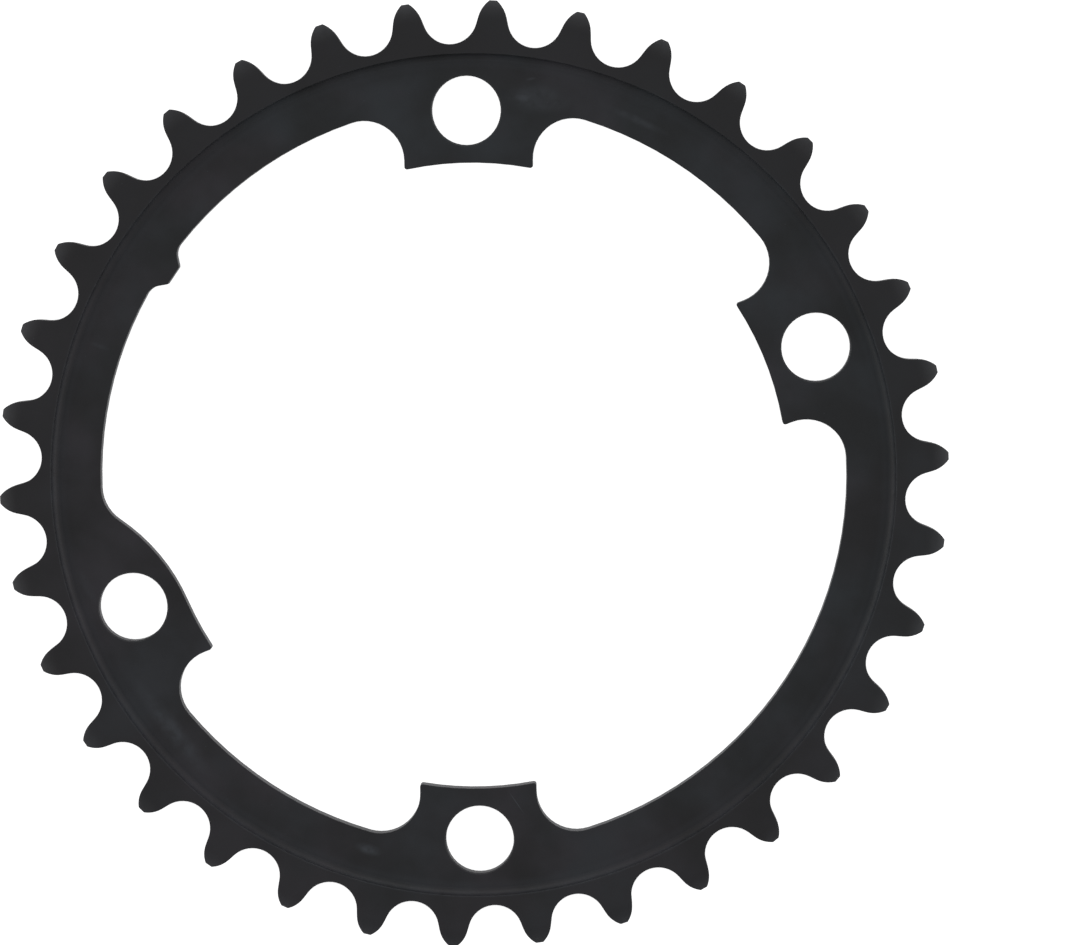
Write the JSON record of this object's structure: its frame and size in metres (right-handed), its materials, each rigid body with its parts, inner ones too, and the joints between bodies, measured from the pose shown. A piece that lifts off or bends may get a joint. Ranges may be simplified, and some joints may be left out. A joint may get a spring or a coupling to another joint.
{
  "type": "bicycle chainring",
  "caption": "Flat toothed ring that carries the chain on a bicycle crankset, with bolt tabs and a locator bump on its inner edge.",
  "frame": {"origin": "middle of the bolt circle, on the flat back face", "axes": "+Z along the axis that the ring turns on, out of the face with the raised tooth land; +X towards the locator bump"},
  "size_m": [0.1422, 0.1428, 0.0036],
  "materials": {
    "anodised_alloy": "matte black anodised"
  },
  "bodies": {
    "root": {"chainring": "anodised_alloy"}
  },
  "joints": []
}
